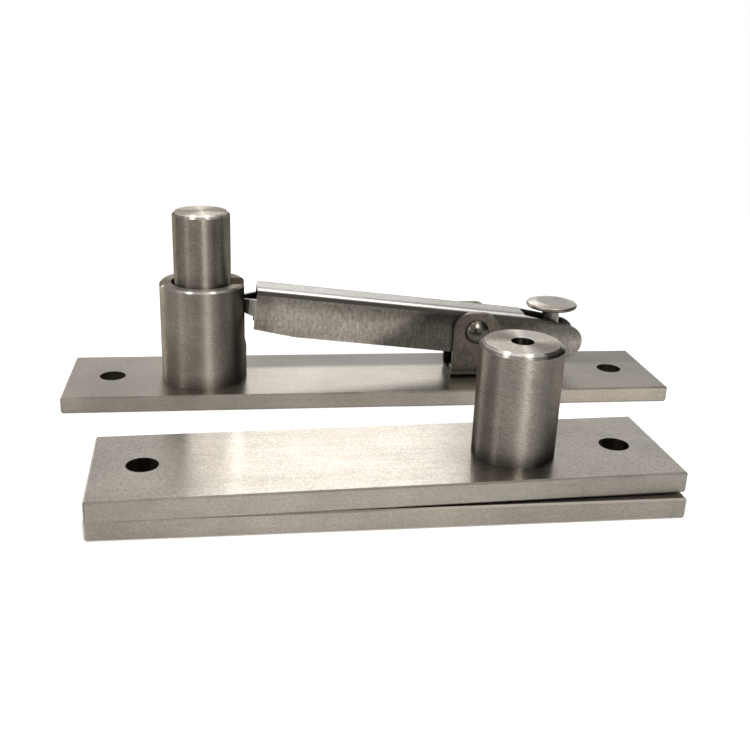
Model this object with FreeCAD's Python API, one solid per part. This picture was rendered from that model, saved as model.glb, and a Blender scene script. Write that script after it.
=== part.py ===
import FreeCAD, Part
import math
import os

# Heavy stainless pivot hinge for a swing door, both halves as they stand on a bench, in millimetres.
# Top half, at the back: frame plate, slotted barrel, sliding pivot pin and the rocking lever that works it.
# Bottom half, in front: floor plate with its spindle, and the door plate whose cup turns on that spindle.
# Origin: axis of the pivot pin, in the plane that both halves rest on. X runs along the frame plate, Z is up.

# Flat bars that all three plates are cut from
bar_width = 32.0
plate_edge = 0.4
screw_hole = 7.0

# Frame plate, the longer one, with the barrel near its left end
frame_thickness = 4.5
frame_left_of_pin = 37.5
frame_right_of_screw = 32.05
frame_hole_inset = 12.0

# Door plate and floor plate, cut to one length
leaf_length = 130.0
leaf_thickness = 5.0
leaf_hole_inset = 11.0
leaf_right_of_spindle = 36.2
cup_off_middle = 1.0
leaf_gap = 0.3
spindle_x = 71.0
spindle_y = -67.5
door_angle = 2.0

# Fits, each the clearance on the radius
fixed_fit = 0.02
running_fit = 0.05
thread_fit = 0.1

# Barrel that guides the pivot pin
barrel_wall = 3.95
barrel_height = 27.5
barrel_rim = 0.5
mouth_step = 0.6
mouth_depth = 1.6
slot_side_play = 0.5
slot_end_play = 0.6

# Pivot pin
pin_diameter = 15.5
pin_stand = 19.5
pin_chamfer = 0.9
window_play = 0.2
window_corner = 1.0

# Rocking lever, pressed from sheet: lengths from its rivet, heights from the line through rivet and tip
rivet_from_pin = 76.95
rivet_over_plate = 14.1
lever_tilt = 6.15
lever_swing = 6.2
tip_offset = 0.2
lever_sheet = 1.2
lever_width = 9.4
lever_inner_bend = 0.6
web_top = 5.9
web_to_barrel = 2.45
web_to_disc = 2.15
flange_bottom = 7.2
flange_step = 0.3
lever_taper_length = 11.6
lever_taper_rise = 1.2
lobe_past_screw = 4.1
lobe_drop = 1.0
lobe_radius = 4.95
tongue_root_height = 4.9
tongue_height = 3.3
tongue_taper = 4.5
tongue_spread = 5.6
tongue_crank = 3.2
tip_radius = 2.5

# Bracket that carries the lever
bracket_sheet = 1.5
bracket_play = 0.2
bracket_length = 13.3
bracket_rise = 5.5
bracket_round = 5.0
bracket_inner_bend = 1.5
rivet_shank = 4.0
rivet_head = 7.0
rivet_head_height = 2.2
rivet_tail = 5.8
rivet_tail_height = 1.2
small_rivet = 3.0
small_rivet_head = 5.0
small_rivet_head_height = 0.9
small_rivet_inset = 3.15

# Adjusting screw, its lift nut and the disc that presses on the lever's tail
screw_from_rivet = 23.5
screw_diameter = 5.0
screw_recess = 2.2
screw_slot_width = 0.9
screw_slot_depth = 1.0
screw_shoulder = 0.7
peened_spread = 0.8
peened_height = 0.5
nut_across_flats = 8.0
nut_height = 4.0
nut_chamfer = 0.5
disc_diameter = 14.9
disc_thickness = 2.1
disc_over_rivet = 5.35
disc_flat = 10.0
disc_under_rise = 0.6
disc_play = 0.1

# Cup, its bush, the thrust pad and the spindle
cup_diameter = 19.0
cup_height = 26.5
cup_chamfer = 1.1
cup_end_wall = 5.0
cup_hole = 5.0
cup_wall = 2.4
cup_shoulder = 1.3
bush_wall = 1.05
bush_length = 19.0
bush_inset = 0.8
spindle_top_chamfer = 0.6
thrust_thickness = 2.0

# Sizes and places that follow from the values above
barrel_diameter = pin_diameter + 2 * (running_fit + barrel_wall)
barrel_top = frame_thickness + barrel_height
pin_length = barrel_top + pin_stand
tilt = math.radians(lever_tilt)
swing = math.radians(lever_swing)
lever_arm = (rivet_from_pin - tip_offset) / math.cos(tilt)
rivet_z = frame_thickness + rivet_over_plate
tip_z = rivet_z + lever_arm * math.sin(tilt)
throw = lever_arm * (math.sin(tilt) - math.sin(tilt - swing))
slot_width = tongue_spread + 2 * slot_side_play
slot_end_z = tip_z - throw - tongue_height / 2 - slot_end_play
lever_left = lever_arm - barrel_diameter / 2 - web_to_barrel
lever_bend = lever_inner_bend + lever_sheet
web_end = screw_from_rivet - disc_diameter / 2 - web_to_disc
lobe_reach = screw_from_rivet + lobe_past_screw
bracket_bend = bracket_inner_bend + bracket_sheet
screw_x = rivet_from_pin + screw_from_rivet
screw_neck = screw_diameter - 2 * screw_shoulder
peened_end = screw_neck + 2 * peened_spread
disc_height = rivet_z + disc_over_rivet
frame_length = frame_left_of_pin + screw_x + frame_right_of_screw
frame_middle = frame_length / 2 - frame_left_of_pin
cup_spigot = cup_diameter - 2 * cup_shoulder
bush_outside = cup_diameter - 2 * cup_wall
spindle_diameter = bush_outside - 2 * (bush_wall + running_fit)
leaf_middle = leaf_right_of_spindle - leaf_length / 2
door_bottom = leaf_thickness + leaf_gap
door_top = door_bottom + leaf_thickness
cup_top = door_top + cup_height
cup_ceiling = cup_top - cup_end_wall
thrust_bottom = cup_ceiling - thrust_thickness
spindle_top = thrust_bottom - fixed_fit
slack = 1.0


def point(x, y, z):
    return FreeCAD.Vector(x, y, z)


def upright(diameter, bottom, top, x=0.0, y=0.0):
    return Part.makeCylinder(diameter / 2, top - bottom, point(x, y, bottom))


def block(x_low, x_high, y_low, y_high, z_low, z_high):
    size = (x_high - x_low, y_high - y_low, z_high - z_low)
    return Part.makeBox(*size, point(x_low, y_low, z_low))


def turned(outline, x=0.0, y=0.0):
    """Solid of revolution about an upright axis, from corners given as radius and height."""
    corners = [point(radius, 0, height) for radius, height in outline]
    face = Part.Face(Part.makePolygon(corners + corners[:1]))
    solid = face.revolve(point(0, 0, 0), point(0, 0, 1), 360)
    solid.translate(point(x, y, 0))
    return solid


def side_view(edges, y_low, y_high):
    """Slab between two Y planes, from the edges of its outline in the XZ plane."""
    face = Part.Face(Part.Wire(Part.sortEdges(edges)[0]))
    slab = face.extrude(point(0, y_high - y_low, 0))
    slab.translate(point(0, y_low, 0))
    return slab


def straight(start, end):
    return Part.makeLine(point(start[0], 0, start[1]), point(end[0], 0, end[1]))


def rounded(start, middle, end):
    places = [point(place[0], 0, place[1]) for place in (start, middle, end)]
    return Part.Arc(*places).toShape()


def edges_along(shape, direction, test):
    """Straight edges of a shape that run along a direction and whose middle passes a test."""
    found = []
    for edge in shape.Edges:
        if edge.Curve.TypeId != "Part::GeomLine":
            continue
        along = edge.tangentAt(edge.FirstParameter)
        if abs(abs(along.dot(direction)) - 1) < 1e-6 and test(edge.CenterOfMass):
            found.append(edge)
    return found


def bar(length, thickness, middle, bottom):
    """Flat bar along X with every edge lightly broken."""
    left = middle - length / 2
    plate = block(left, left + length, -bar_width / 2, bar_width / 2, bottom, bottom + thickness)
    return plate.makeChamfer(plate_edge, plate.Edges)


def drilled_bar(length, thickness, middle, bottom, hole_inset):
    """Bar with a plain screw hole near each end."""
    plate = bar(length, thickness, middle, bottom)
    for side in (-1, 1):
        x = middle + side * (length / 2 - hole_inset)
        plate = plate.cut(upright(screw_hole, bottom - slack, bottom + thickness + slack, x))
    return plate


def to_spindle(shape, angle=0.0):
    """Moves a shape built about the origin to the spindle, turned by an angle."""
    shape.rotate(point(0, 0, 0), point(0, 0, 1), angle)
    shape.translate(point(spindle_x, spindle_y, 0))
    return shape


def frame_plate():
    plate = drilled_bar(frame_length, frame_thickness, frame_middle, 0, frame_hole_inset)
    plate = plate.cut(upright(barrel_diameter + 2 * fixed_fit, -slack, frame_thickness + slack))
    plate = plate.cut(upright(screw_diameter + 2 * thread_fit, -slack, frame_thickness + slack, screw_x))
    return plate.cut(small_rivet_holes())


def pin_barrel():
    outer = barrel_diameter / 2
    bore = pin_diameter / 2 + running_fit
    outline = [(bore, 0), (outer, 0), (outer, barrel_top - barrel_rim), (outer - barrel_rim, barrel_top)]
    outline += [(bore + mouth_step, barrel_top), (bore + mouth_step, barrel_top - mouth_depth)]
    outline += [(bore, barrel_top - mouth_depth)]
    barrel = turned(outline)
    slot = block(0, outer + slack, -slot_width / 2, slot_width / 2, slot_end_z, barrel_top + slack)
    slot_end = Part.makeCylinder(slot_width / 2, outer + slack, point(0, 0, slot_end_z), point(1, 0, 0))
    return barrel.cut(slot.fuse(slot_end)).removeSplitter()


def pivot_pin():
    radius = pin_diameter / 2
    inner = radius - pin_chamfer
    outline = [(0, 0), (inner, 0), (radius, pin_chamfer), (radius, pin_length - pin_chamfer)]
    outline += [(inner, pin_length), (0, pin_length)]
    pin = turned(outline)
    half_width = tongue_spread / 2 + 2 * window_play
    half_height = tip_radius + window_play
    reach = tip_radius + 2 * tip_offset + 2 * window_play
    window = block(-reach, radius + slack, -half_width, half_width, tip_z - half_height, tip_z + half_height)
    inner_corners = edges_along(window, point(0, 0, 1), lambda place: place.x < 0)
    window = window.makeFillet(window_corner, inner_corners)
    return pin.cut(window)


def lever_outline():
    """Side outline of the lever's channel, round lobe included, with the rivet at the origin."""
    left = -lever_left
    lobe = (lobe_reach, -lobe_drop)
    step = (web_end, web_top - flange_step)
    toe = (web_end, -flange_bottom)
    upper = touch_point(step, lobe, lobe_radius, 1)
    lower = touch_point(toe, lobe, lobe_radius, -1)
    nose = (lobe[0] + lobe_radius, lobe[1])
    taper = (left + lever_taper_length, -flange_bottom)
    heel = (left, -flange_bottom + lever_taper_rise)
    edges = [straight((left, web_top), (web_end, web_top)), straight((web_end, web_top), step)]
    edges += [straight(step, upper), rounded(upper, nose, lower), straight(lower, toe)]
    edges += [straight(toe, taper), straight(taper, heel), straight(heel, (left, web_top))]
    return edges


def touch_point(start, middle, radius, side):
    """Where a line from a start point touches a circle, on its upper (1) or lower (-1) side."""
    across = middle[0] - start[0]
    up = middle[1] - start[1]
    distance = math.hypot(across, up)
    heading = math.atan2(up, across) + side * math.asin(radius / distance)
    length = math.sqrt(distance**2 - radius**2)
    return (start[0] + length * math.cos(heading), start[1] + length * math.sin(heading))


def lever_channel():
    half = lever_width / 2
    inner = half - lever_sheet
    shell = side_view(lever_outline(), -half, half)
    along = point(1, 0, 0)
    long_edges = edges_along(shell, along, lambda place: abs(place.z - web_top) < 1e-6)
    shell = shell.makeFillet(lever_bend, long_edges)
    hollow_top = web_top - lever_sheet
    hollow = block(-lever_left - slack, web_end + slack, -inner, inner, -2 * flange_bottom, hollow_top)
    inner_edges = edges_along(hollow, along, lambda place: abs(place.z - hollow_top) < 1e-6)
    hollow = hollow.makeFillet(lever_inner_bend, inner_edges)
    fork = block(web_end, lobe_reach + 2 * lobe_radius, -inner, inner, -2 * flange_bottom, 2 * web_top)
    return shell.cut(hollow).cut(fork)


def tongue_pair():
    """Two tongues that crank inwards from the channel's left end and meet the pin with a round tip."""
    left = -lever_left
    tip = -lever_arm
    root = tongue_root_height / 2
    waist = tongue_height / 2
    neck_start = left - tongue_taper
    shoulder = tip + math.sqrt(tip_radius**2 - waist**2)
    end = tip - tip_radius
    inside = left + lever_sheet
    edges = [straight((inside, root), (left, root)), straight((left, root), (neck_start, waist))]
    edges += [straight((neck_start, waist), (shoulder, waist))]
    edges += [rounded((shoulder, waist), (end, 0), (shoulder, -waist))]
    edges += [straight((shoulder, -waist), (neck_start, -waist))]
    edges += [straight((neck_start, -waist), (left, -root))]
    edges += [straight((left, -root), (inside, -root)), straight((inside, -root), (inside, root))]
    side = side_view(edges, -lever_width, lever_width)
    return side.common(tongue_plan(1).fuse(tongue_plan(-1)))


def tongue_plan(side):
    """One cranked strip seen from above, tall enough to hold any tongue."""
    outer = lever_width / 2
    close = tongue_spread / 2
    left = -lever_left
    end = -lever_arm - tip_radius - slack
    bend = left - tongue_crank
    inside = left + lever_sheet
    corners = [(inside, outer), (left, outer), (bend, close), (end, close), (end, close - lever_sheet)]
    corners += [(bend, close - lever_sheet), (left, outer - lever_sheet), (inside, outer - lever_sheet)]
    places = [point(x, side * y, -web_top) for x, y in corners]
    return Part.Face(Part.makePolygon(places + places[:1])).extrude(point(0, 0, 2 * web_top))


def rocker_lever():
    lever = lever_channel().fuse(tongue_pair()).removeSplitter()
    hole = rivet_shank / 2 + running_fit
    lever = lever.cut(Part.makeCylinder(hole, 2 * lever_width, point(0, -lever_width, 0), point(0, 1, 0)))
    lever.rotate(point(0, 0, 0), point(0, 1, 0), lever_tilt)
    lever.translate(point(rivet_from_pin, 0, rivet_z))
    return lever


def bracket_half_width():
    return lever_width / 2 + bracket_play + bracket_sheet


def lever_bracket():
    half = bracket_half_width()
    inner = half - bracket_sheet
    top = rivet_z + bracket_rise
    low = rivet_from_pin - bracket_length / 2
    high = rivet_from_pin + bracket_length / 2
    along = point(1, 0, 0)
    across = point(0, 1, 0)
    outside = block(low, high, -half, half, frame_thickness, top)
    outside = outside.makeFillet(bracket_round, edges_along(outside, across, lambda place: place.z > rivet_z))
    outside = outside.makeFillet(bracket_bend, edges_along(outside, along, lambda place: place.z < rivet_z))
    floor = frame_thickness + bracket_sheet
    hollow = block(low - slack, high + slack, -inner, inner, floor, top + slack)
    inner_bends = edges_along(hollow, along, lambda place: place.z < rivet_z)
    hollow = hollow.makeFillet(bracket_inner_bend, inner_bends)
    bracket = outside.cut(hollow)
    radius = rivet_shank / 2 + fixed_fit
    start = point(rivet_from_pin, -half - slack, rivet_z)
    bracket = bracket.cut(Part.makeCylinder(radius, 2 * (half + slack), start, across))
    return bracket.cut(small_rivet_holes())


def dome(radius, height, base):
    """Closed cap of a ball, standing on a flat disc, about the Z axis."""
    ball_radius = (radius**2 + height**2) / (2 * height)
    centre = base + height - ball_radius
    half_way = math.asin(radius / ball_radius) / 2
    middle = point(ball_radius * math.sin(half_way), 0, centre + ball_radius * math.cos(half_way))
    curve = Part.Arc(point(radius, 0, base), middle, point(0, 0, base + height)).toShape()
    floor = Part.makeLine(point(0, 0, base), point(radius, 0, base))
    axis = Part.makeLine(point(0, 0, base + height), point(0, 0, base))
    face = Part.Face(Part.Wire([floor, curve, axis]))
    return face.revolve(point(0, 0, 0), point(0, 0, 1), 360)


def lever_rivet():
    half = bracket_half_width()
    shank = Part.makeCylinder(rivet_shank / 2, 2 * half, point(0, 0, -half))
    head = dome(rivet_head / 2, rivet_head_height, half)
    tail = upright(rivet_tail, -half - rivet_tail_height, -half)
    rivet = shank.fuse([head, tail]).removeSplitter()
    rivet.rotate(point(0, 0, 0), point(1, 0, 0), 90)
    rivet.translate(point(rivet_from_pin, 0, rivet_z))
    return rivet


def small_rivet_places():
    reach = bracket_length / 2 - small_rivet_inset
    return [rivet_from_pin - reach, rivet_from_pin + reach]


def small_rivet_holes():
    """Cutters for the rivets that hold the bracket down, through bracket and plate."""
    diameter = small_rivet + 2 * fixed_fit
    top = frame_thickness + bracket_sheet + slack
    return [upright(diameter, -slack, top, x) for x in small_rivet_places()]


def bracket_rivets():
    shank = small_rivet / 2
    head = small_rivet_head / 2
    seat = frame_thickness + bracket_sheet
    top = seat + small_rivet_head_height
    outline = [(0, 0), (shank, 0), (shank, seat), (head, seat), (head, top), (0, top)]
    return Part.makeCompound([turned(outline, x) for x in small_rivet_places()])


def lift_nut():
    flat = nut_across_flats / 2
    corner = flat / math.cos(math.radians(30))
    corners = [math.radians(60 * turn + 30) for turn in range(7)]
    ring = [point(corner * math.cos(a), corner * math.sin(a), frame_thickness) for a in corners]
    nut = Part.Face(Part.makePolygon(ring)).extrude(point(0, 0, nut_height))
    top = frame_thickness + nut_height
    rise = nut_chamfer * math.tan(math.radians(30))
    outline = [(0, frame_thickness), (corner, frame_thickness), (corner, top - rise)]
    outline += [(corner - nut_chamfer, top), (0, top)]
    nut = nut.common(turned(outline))
    nut = nut.cut(upright(screw_diameter + 2 * thread_fit, 0, top + slack))
    nut.translate(point(screw_x, 0, 0))
    return nut


def adjusting_screw():
    radius = screw_diameter / 2
    neck = screw_neck / 2
    bottom = screw_recess
    under = disc_height - disc_play
    top = disc_height + disc_thickness
    seat = top - peened_height
    outline = [(0, bottom), (radius, bottom), (radius, under), (neck, under), (neck, seat + disc_play)]
    outline += [(peened_end / 2, seat + disc_play), (peened_end / 2, top), (0, top)]
    screw = turned(outline)
    half = screw_slot_width / 2
    screw = screw.cut(block(-radius, radius, -half, half, bottom - slack, bottom + screw_slot_depth))
    screw.translate(point(screw_x, 0, 0))
    return screw


def pressure_disc():
    """Disc with a flat top, its under side rising from a flat middle to a thinner rim."""
    radius = disc_diameter / 2
    top = disc_height + disc_thickness
    seat = top - peened_height
    bore = screw_neck / 2 + disc_play
    pocket = peened_end / 2 + disc_play
    outline = [(bore, disc_height), (disc_flat / 2, disc_height), (radius, disc_height + disc_under_rise)]
    outline += [(radius, top), (pocket, top), (pocket, seat), (bore, seat)]
    disc = turned(outline)
    disc.translate(point(screw_x, 0, 0))
    return disc


def door_plate():
    plate = drilled_bar(leaf_length, leaf_thickness, leaf_middle, door_bottom, leaf_hole_inset)
    plate.translate(point(0, cup_off_middle, 0))
    plate = plate.cut(upright(cup_spigot, door_bottom - slack, door_top + slack))
    return to_spindle(plate, door_angle)


def socket_cup():
    outer = cup_diameter / 2
    inner = bush_outside / 2
    spigot = cup_spigot / 2 - fixed_fit
    hole = cup_hole / 2
    outline = [(inner, door_bottom), (spigot, door_bottom), (spigot, door_top), (outer, door_top)]
    outline += [(outer, cup_top - cup_chamfer), (outer - cup_chamfer, cup_top), (hole, cup_top)]
    outline += [(hole, cup_ceiling), (inner, cup_ceiling)]
    return to_spindle(turned(outline), door_angle)


def cup_bush():
    bottom = door_bottom + bush_inset
    outer = bush_outside / 2 - fixed_fit
    inner = spindle_diameter / 2 + running_fit
    outline = [(inner, bottom), (outer, bottom), (outer, bottom + bush_length), (inner, bottom + bush_length)]
    return to_spindle(turned(outline), door_angle)


def thrust_pad():
    """Hard disc between the spindle's end and the cup's, a running fit in the bush."""
    return to_spindle(upright(spindle_diameter, thrust_bottom, cup_ceiling), door_angle)


def spindle():
    radius = spindle_diameter / 2
    inner = radius - spindle_top_chamfer
    outline = [(0, 0), (radius, 0), (radius, spindle_top - spindle_top_chamfer), (inner, spindle_top)]
    return to_spindle(turned(outline + [(0, spindle_top)]))


def floor_plate():
    plate = drilled_bar(leaf_length, leaf_thickness, leaf_middle, 0, leaf_hole_inset)
    plate = plate.cut(upright(spindle_diameter + 2 * fixed_fit, -slack, leaf_thickness + slack))
    return to_spindle(plate)


pieces = {
    "frame_plate": frame_plate,
    "pin_barrel": pin_barrel,
    "pivot_pin": pivot_pin,
    "rocker_lever": rocker_lever,
    "lever_bracket": lever_bracket,
    "lever_rivet": lever_rivet,
    "bracket_rivets": bracket_rivets,
    "lift_nut": lift_nut,
    "adjusting_screw": adjusting_screw,
    "pressure_disc": pressure_disc,
    "door_plate": door_plate,
    "socket_cup": socket_cup,
    "cup_bush": cup_bush,
    "thrust_pad": thrust_pad,
    "spindle": spindle,
    "floor_plate": floor_plate,
}

os.makedirs("parts", exist_ok=True)
for name, build in pieces.items():
    shape = build()
    shape.exportStep(os.path.join("parts", name + ".step"))
    print(f"{name}: {len(shape.Solids)} solid, {shape.Volume:.1f} cubic mm, valid {shape.isValid()}")
print(f"lever arm {lever_arm:.3f}, tip at height {tip_z:.3f}, throw {throw:.3f}")
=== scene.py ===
import math

import bpy
from mathutils import Matrix, Vector


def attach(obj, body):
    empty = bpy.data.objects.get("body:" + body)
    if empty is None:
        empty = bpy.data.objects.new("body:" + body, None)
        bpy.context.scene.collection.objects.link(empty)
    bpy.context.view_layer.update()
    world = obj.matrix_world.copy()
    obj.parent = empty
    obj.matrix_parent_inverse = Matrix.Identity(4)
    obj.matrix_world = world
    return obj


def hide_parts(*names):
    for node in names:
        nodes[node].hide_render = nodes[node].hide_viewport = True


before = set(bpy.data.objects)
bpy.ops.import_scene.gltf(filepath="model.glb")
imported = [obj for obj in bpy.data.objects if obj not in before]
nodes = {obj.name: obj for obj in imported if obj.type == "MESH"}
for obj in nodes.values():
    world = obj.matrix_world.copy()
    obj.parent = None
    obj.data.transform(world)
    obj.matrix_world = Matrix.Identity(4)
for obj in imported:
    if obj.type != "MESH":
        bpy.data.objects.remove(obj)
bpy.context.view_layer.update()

mm = 0.001

# Places of the pieces modelled here, in millimetres: the cross rivet's middle and the screw's axis
rivetPlace = (76.95, 0, 18.6)
screwPlace = (100.45, 0, 0)


# Camera, solved from the plates, holes and cylinders in the photograph
cameraView = {
    "place": (7.56, -263.8, 104.9),   # millimetres from the pivot pin's foot
    "heading": 9.15,                  # degrees to the right of +Y
    "down": 20.34,
    "roll": -2.36,
    "lens": 46.83,
    "shift": (-0.0052, -0.0102),
    "clip": (0.01, 20),
}


def placeCamera():
    heading, down, roll = (math.radians(cameraView[turn]) for turn in ("heading", "down", "roll"))
    ahead = Vector((
        math.sin(heading) * math.cos(down),
        math.cos(heading) * math.cos(down),
        -math.sin(down),
    ))
    levelRight = Vector((math.cos(heading), -math.sin(heading), 0))
    levelDown = ahead.cross(levelRight)
    right = levelRight * math.cos(roll) + levelDown * math.sin(roll)
    up = levelRight * math.sin(roll) - levelDown * math.cos(roll)
    turn = Matrix((right, up, -ahead)).transposed()
    data = bpy.data.cameras.new("camera")
    data.lens = cameraView["lens"]
    data.shift_x, data.shift_y = cameraView["shift"]
    data.clip_start, data.clip_end = cameraView["clip"]
    camera = bpy.data.objects.new("camera", data)
    bpy.context.scene.collection.objects.link(camera)
    camera.matrix_world = Matrix.Translation(Vector(cameraView["place"]) * mm) @ turn.to_4x4()
    bpy.context.scene.camera = camera


placeCamera()
print("camera placed")


# A noise value lies around its middle: most of it within the first reach, nearly all within the second
noiseMiddle = 0.5
mostNoise = 0.2
allNoise = 0.3


# Small helpers for shader trees
class Tree:
    def __init__(self, owner):
        self.nodes = owner.nodes
        self.links = owner.links

    def add(self, kind, **settings):
        node = self.nodes.new("ShaderNode" + kind)
        for name, value in settings.items():
            setattr(node, name, value)
        return node

    def feed(self, socket, value):
        if isinstance(value, bpy.types.NodeSocket):
            self.links.new(value, socket)
        elif value is not None:
            socket.default_value = value

    def math(self, operation, a, b=None):
        node = self.add("Math", operation=operation)
        self.feed(node.inputs[0], a)
        self.feed(node.inputs[1], b)
        return node.outputs[0]

    def times(self, first, *others):
        for other in others:
            first = self.math("MULTIPLY", first, other)
        return first

    def plus(self, first, *others):
        for other in others:
            first = self.math("ADD", first, other)
        return first

    def absolute(self, value):
        return self.math("ABSOLUTE", value)

    def inverse(self, share):
        return self.math("SUBTRACT", 1, share)

    def fromAxis(self, x, y):
        return self.math("SQRT", self.plus(self.times(x, x), self.times(y, y)))

    def vector(self, operation, a, b=None):
        node = self.add("VectorMath", operation=operation)
        self.feed(node.inputs[0], a)
        self.feed(node.inputs[1], b)
        return node.outputs["Value" if operation in ("LENGTH", "DOT_PRODUCT") else "Vector"]

    def split(self, value, parts="XYZ"):
        node = self.add("SeparateXYZ")
        self.feed(node.inputs[0], value)
        return [node.outputs[part] for part in parts]

    def join(self, x, y, z):
        node = self.add("CombineXYZ")
        for socket, value in zip(node.inputs, (x, y, z)):
            self.feed(socket, value)
        return node.outputs[0]

    def even(self, value):
        return self.join(value, value, value)

    def noise(self, vector, scale, detail, roughness, w=None):
        node = self.add("TexNoise", noise_dimensions="3D" if w is None else "4D")
        self.feed(node.inputs["Vector"], vector)
        self.feed(node.inputs["Scale"], scale)
        self.feed(node.inputs["Detail"], detail)
        self.feed(node.inputs["Roughness"], roughness)
        if w is not None:
            self.feed(node.inputs["W"], w)
        return node.outputs["Fac"]

    def ramp(self, value, start, stop, toStart=0.0, toStop=1.0):
        node = self.add("MapRange", interpolation_type="SMOOTHSTEP")
        for socket, number in zip(node.inputs, (value, start, stop, toStart, toStop)):
            self.feed(socket, number)
        return node.outputs[0]

    # The same over a length, with start and stop in millimetres
    def rampMm(self, value, start, stop, toStart=0.0, toStop=1.0):
        return self.ramp(value, start * mm, stop * mm, toStart, toStop)

    def spread(self, noise, low, high, reach=mostNoise):
        return self.ramp(noise, noiseMiddle - reach, noiseMiddle + reach, low, high)

    def mix(self, share, first, second):
        node = self.add("Mix", data_type="RGBA")
        self.feed(node.inputs[0], share)
        self.feed(node.inputs[6], first)
        self.feed(node.inputs[7], second)
        return node.outputs[2]

    def cover(self, colour, mask, share, paint):
        return self.mix(self.times(mask, share), colour, paint)

    def tint(self, colour, shade):
        if isinstance(colour, tuple):
            colour = colour[:3]
        return self.vector("MULTIPLY", colour, self.even(shade))

    def group(self, name, **values):
        node = self.add("Group")
        node.node_tree = bpy.data.node_groups[name]
        for socket, value in values.items():
            self.feed(node.inputs[socket], value)
        return node.outputs


def startGroup(name, takes, gives):
    group = bpy.data.node_groups.new(name, "ShaderNodeTree")
    for socket, kind in takes.items():
        group.interface.new_socket(socket, in_out="INPUT", socket_type="NodeSocket" + kind)
    for socket in gives:
        group.interface.new_socket(socket, in_out="OUTPUT", socket_type="NodeSocketFloat")
    tree = Tree(group)
    inside = group.nodes.new("NodeGroupInput").outputs
    outside = group.nodes.new("NodeGroupOutput").inputs
    return tree, inside, outside


def emptyTree(owner):
    owner.use_nodes = True
    owner.node_tree.nodes.clear()
    return Tree(owner.node_tree)


# Brushed grain that runs along X: fine and broad streaks, rare scratches, soft patches and speckle.
# Every noise in this script is given by its scale, detail and roughness
brushing = {
    "along": 26,
    "across": 1000,
    "fine": (2.2, 3, 0.6),
    "broad": (0.55, 2, 0.5),
    "broadStretch": (1.6, 1, 1),
    "broadShare": 0.4,
    "scratch": (1.6, 2, 0.5),
    "scratchStretch": (14, 900, 900),
    "scratchFrom": (0.66, 0.78),
    "patch": (55, 4, 0.6),
    "speckle": (2200, 3, 0.6),
}


def makeBrushedGrain():
    tree, takes, gives = startGroup(
        "brushedGrain",
        {"Vector": "Vector", "Fineness": "Float"},
        ["Streak", "Patch", "Scratch", "Speckle"],
    )
    x, y, z = tree.split(takes["Vector"])
    along = tree.times(takes["Fineness"], brushing["along"])
    across = tree.times(takes["Fineness"], brushing["across"])
    place = tree.join(tree.times(x, along), tree.times(y, across), tree.times(z, across))
    fine = tree.noise(place, *brushing["fine"])
    broad = tree.noise(tree.vector("MULTIPLY", place, brushing["broadStretch"]), *brushing["broad"])
    fine = tree.times(fine, 1 - brushing["broadShare"])
    broad = tree.times(broad, brushing["broadShare"])
    scratchPlace = tree.vector("MULTIPLY", takes["Vector"], brushing["scratchStretch"])
    scratch = tree.noise(scratchPlace, *brushing["scratch"])
    tree.feed(gives["Streak"], tree.plus(fine, broad))
    tree.feed(gives["Patch"], tree.noise(takes["Vector"], *brushing["patch"]))
    tree.feed(gives["Scratch"], tree.ramp(scratch, *brushing["scratchFrom"]))
    tree.feed(gives["Speckle"], tree.noise(takes["Vector"], *brushing["speckle"]))


# Turning marks about an upright axis: rings that follow height on the side and radius on an end
turning = {
    "across": 1000,
    "around": 1.6,
    "ring": (3.0, 4, 0.6),
    "patch": (90, 4, 0.6),
    "speckle": (2900, 2, 0.6),
    "speckleStretch": (1, 1, 1.5),
    "leastRadius": 0.1,
}


def makeTurningMarks():
    tree, takes, gives = startGroup(
        "turningMarks",
        {"Vector": "Vector", "Axis": "Vector", "Fineness": "Float"},
        ["Ring", "Patch", "Speckle", "Radius", "Height"],
    )
    place = tree.vector("SUBTRACT", takes["Vector"], takes["Axis"])
    x, y, z = tree.split(place)
    radius = tree.fromAxis(x, y)
    safe = tree.math("MAXIMUM", radius, turning["leastRadius"] * mm)
    aroundX = tree.times(tree.math("DIVIDE", x, safe), turning["around"])
    aroundY = tree.times(tree.math("DIVIDE", y, safe), turning["around"])
    across = tree.times(takes["Fineness"], turning["across"])
    ringPlace = tree.join(tree.times(radius, across), tree.times(z, across), aroundX)
    specklePlace = tree.vector("MULTIPLY", place, turning["speckleStretch"])
    tree.feed(gives["Ring"], tree.noise(ringPlace, *turning["ring"], w=aroundY))
    tree.feed(gives["Patch"], tree.noise(place, *turning["patch"]))
    tree.feed(gives["Speckle"], tree.noise(specklePlace, *turning["speckle"]))
    tree.feed(gives["Radius"], radius)
    tree.feed(gives["Height"], z)


# Broken edges: where the surface turns away from the bar's or the turned piece's own faces
edging = {"face": (0.97, 0.86), "side": (0.2, 0.4)}


def makeBrokenEdge():
    tree, takes, gives = startGroup("brokenEdge", {"Normal": "Vector"}, ["Bar", "Turned"])
    x, y, z = (tree.absolute(part) for part in tree.split(takes["Normal"]))
    most = tree.math("MAXIMUM", tree.math("MAXIMUM", x, y), z)
    tree.feed(gives["Bar"], tree.ramp(most, *edging["face"]))
    tree.feed(gives["Turned"], tree.times(tree.ramp(z, *edging["side"]), tree.ramp(z, *edging["face"])))


# The inside of an upright round, for the walls of a hole
def makeRoundMark():
    tree, takes, gives = startGroup(
        "roundMark", {"Vector": "Vector", "Axis": "Vector", "Radius": "Float"}, ["Inside"]
    )
    x, y = tree.split(tree.vector("SUBTRACT", takes["Vector"], takes["Axis"]), "XY")
    tree.feed(gives["Inside"], tree.math("LESS_THAN", tree.fromAxis(x, y), takes["Radius"]))


# Small dents, gathered in loose patches
dents = {"dent": (0.24, 0.1), "gather": (180, 2, 0.5), "gatherFrom": (0.55, 0.65)}


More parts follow.
